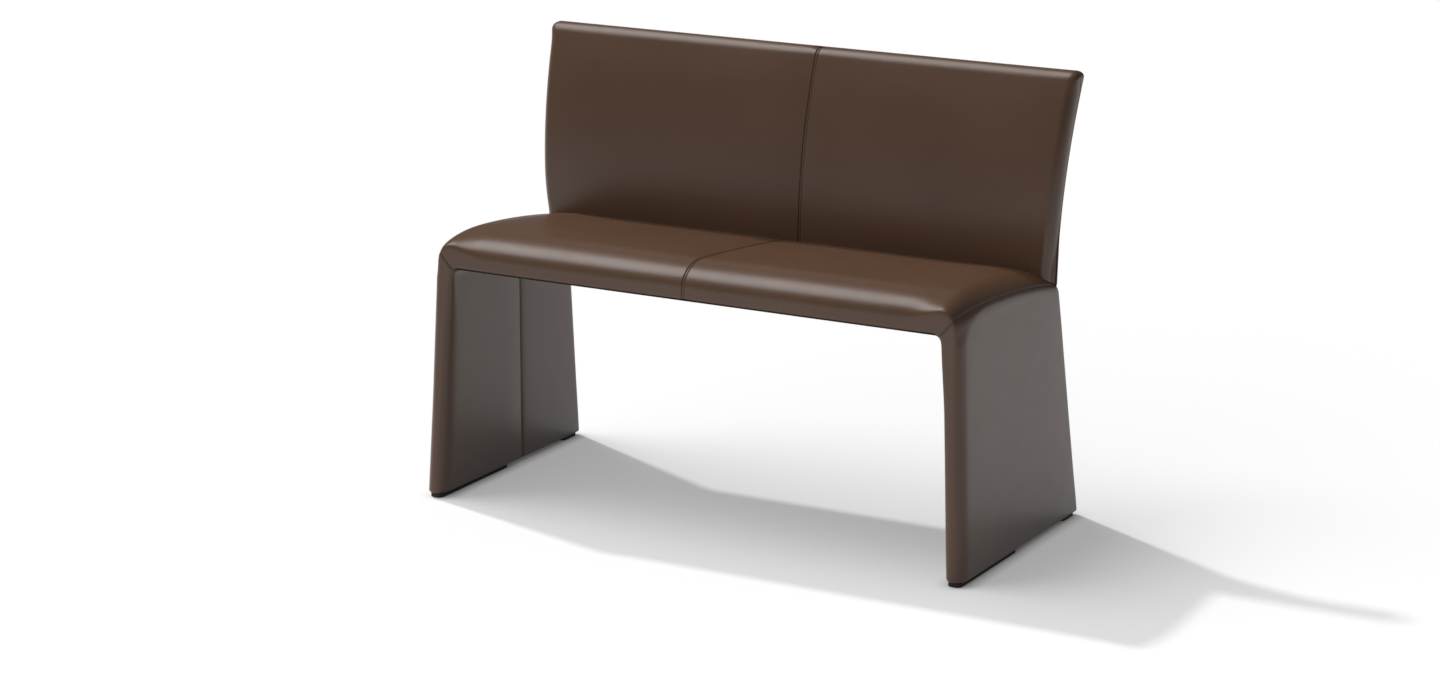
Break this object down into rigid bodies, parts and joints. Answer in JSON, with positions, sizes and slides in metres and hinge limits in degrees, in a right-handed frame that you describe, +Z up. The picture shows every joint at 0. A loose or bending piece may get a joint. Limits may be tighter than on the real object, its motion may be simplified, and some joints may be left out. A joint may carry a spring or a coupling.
{
  "type": "upholstered bench with back",
  "caption": "Leather-covered bench with a padded seat, a raked low back and flared panel legs that run into the seat at mitred seams, standing on black glide strips.",
  "frame": {"origin": "on the floor, under the middle of the bench's outline", "axes": "+X along the bench to the sitter's left, +Y to the back, +Z up; the front faces -Y"},
  "size_m": [1.12, 0.504, 0.837],
  "materials": {
    "leather": "smooth semi-matt brown leather",
    "foam": "open-cell upholstery foam",
    "plywood": "sanded moulded plywood",
    "rail_wood": "planed beech",
    "zinc_steel": "zinc plated",
    "black_steel": "black powder coat",
    "foot_plastic": "black moulded plastic",
    "webbing": "woven elastic webbing",
    "dust_cloth": "black non-woven cloth"
  },
  "bodies": {
    "root": {"leg_cover_left": "leather", "leg_cover_right": "leather", "leg_inner_cover_left": "leather", "leg_inner_cover_right": "leather", "seat_cover_left": "leather", "seat_cover_right": "leather", "back_front_cover_left": "leather", "back_front_cover_right": "leather", "back_rear_cover": "leather", "leg_foam_left": "foam", "leg_foam_right": "foam", "seat_foam": "foam", "back_foam_front": "foam", "back_foam_rear": "foam", "leg_board_left": "plywood", "leg_board_right": "plywood", "back_board": "plywood", "front_rail": "rail_wood", "rear_rail": "rail_wood", "end_rail_left": "rail_wood", "end_rail_right": "rail_wood", "cross_rail": "rail_wood", "corner_block_front_left": "rail_wood", "corner_block_front_right": "rail_wood", "corner_block_rear_left": "rail_wood", "corner_block_rear_right": "rail_wood", "leg_bolts": "zinc_steel", "barrel_nuts": "zinc_steel", "bar_bolts": "zinc_steel", "flange_nuts": "zinc_steel", "rail_screws": "zinc_steel", "foot_screws": "zinc_steel", "back_bar_left": "black_steel", "back_bar_right": "black_steel", "front_foot_left": "foot_plastic", "front_foot_right": "foot_plastic", "rear_foot_left": "foot_plastic", "rear_foot_right": "foot_plastic", "seat_belts": "webbing", "dust_cover": "dust_cloth"}
  },
  "joints": []
}
